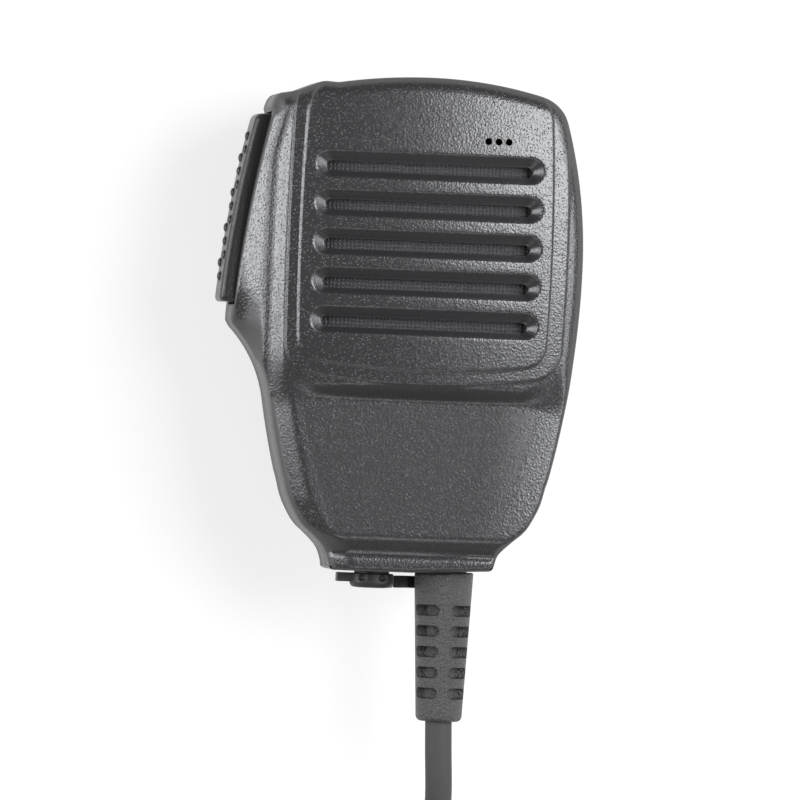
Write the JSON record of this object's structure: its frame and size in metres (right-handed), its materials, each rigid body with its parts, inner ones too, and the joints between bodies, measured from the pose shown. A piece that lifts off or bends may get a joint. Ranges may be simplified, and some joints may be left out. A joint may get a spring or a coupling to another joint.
{
  "type": "hand microphone",
  "caption": "Hand speaker-microphone: moulded case with a louvred grille, side push-to-talk key, capped earphone jack, swivelling belt clip, and a straight cord with a plug.",
  "frame": {"origin": "middle of the microphone's footprint, without its free cord, on the surface that its belt clip lies on", "axes": "+Z out of the grille, +Y towards the top edge, away from the cord; the push-to-talk key is on the -X side"},
  "size_m": [0.0694, 0.1968, 0.0353],
  "materials": {
    "case_plastic": "fine leather grain, dark charcoal",
    "key_rubber": "moulded rubber, black",
    "cap_rubber": "soft rubber, black",
    "boot_rubber": "grainy moulded rubber, black",
    "cord_jacket": "smooth jacket, dark grey",
    "plug_rubber": "moulded, black",
    "clip_plastic": "fine grain, black",
    "screw_steel": "zinc plated",
    "spring_steel": "bright wire",
    "nickel": "nickel plated",
    "speaker_steel": "plated pressed steel",
    "speaker_paper": "matt black cone",
    "gasket_foam": "closed-cell foam, black",
    "grille_cloth": "dust cloth, black",
    "black_plastic": "satin black",
    "ivory_plastic": "natural nylon",
    "board_laminate": "green solder mask"
  },
  "bodies": {
    "case": {"board_capacitor": "speaker_steel", "board_connector": "ivory_plastic", "board_screw_1": "screw_steel", "board_screw_2": "screw_steel", "cap_strap": "cap_rubber", "case_screw_1": "screw_steel", "case_screw_2": "screw_steel", "case_screw_3": "screw_steel", "case_screw_4": "screw_steel", "circuit_board": "board_laminate", "cord": "cord_jacket", "cord_coil": "cord_jacket", "cord_ferrule": "screw_steel", "cord_lead": "cord_jacket", "cord_tail": "cord_jacket", "earphone_jack": "black_plastic", "front_case": "case_plastic", "grille_cloth": "grille_cloth", "mic_capsule": "speaker_steel", "mic_holder": "gasket_foam", "plug_grip": "plug_rubber", "plug_pin": "nickel", "plug_relief": "plug_rubber", "ptt_pivot_pin": "screw_steel", "ptt_switch_body": "black_plastic", "rear_case": "case_plastic", "speaker_cone": "speaker_paper", "speaker_frame": "speaker_steel", "speaker_gasket": "gasket_foam", "speaker_magnet": "speaker_steel", "strain_relief": "boot_rubber", "swivel_screw": "screw_steel", "swivel_washer": "screw_steel"},
    "key": {"ptt_key": "key_rubber"},
    "plunger": {"ptt_switch_plunger": "ivory_plastic"},
    "cap": {"jack_cap": "cap_rubber"},
    "clip": {"clip_plate": "clip_plastic", "clip_pin": "screw_steel", "clip_spring": "spring_steel"},
    "lever": {"clip_lever": "clip_plastic"}
  },
  "joints": [
    {"name": "ptt_press", "type": "hinge", "parent": "case", "child": "key", "pos_m": [-0.01862, 0.04235, 0.02145], "axis": [0, 0, 1], "range_deg": [0, 2], "stiffness_Nm_per_rad": 1.2, "springref_deg": -2.01},
    {"name": "switch_plunger", "type": "slide", "parent": "case", "child": "plunger", "axis": [1, 0, 0], "range_m": [0, 0.0005]},
    {"name": "cap_open", "type": "hinge", "parent": "case", "child": "cap", "pos_m": [0.00148, -0.03007, 0.0187], "axis": [0, 0, 1], "range_deg": [0, 90]},
    {"name": "clip_swivel", "type": "hinge", "parent": "case", "child": "clip", "pos_m": [0.00338, 0.01835, 0.0081], "axis": [0, 0, 1], "continuous": true},
    {"name": "clip_jaw", "type": "hinge", "parent": "clip", "child": "lever", "pos_m": [0.00338, 0.03235, 0.00445], "axis": [1, 0, 0], "range_deg": [0, 20], "stiffness_Nm_per_rad": 0.6, "springref_deg": -20.05, "deforming": ["clip_spring"]}
  ],
  "couplings": [
    {"joint": "switch_plunger", "follows": "ptt_press", "m_per_rad": 0.014}
  ]
}
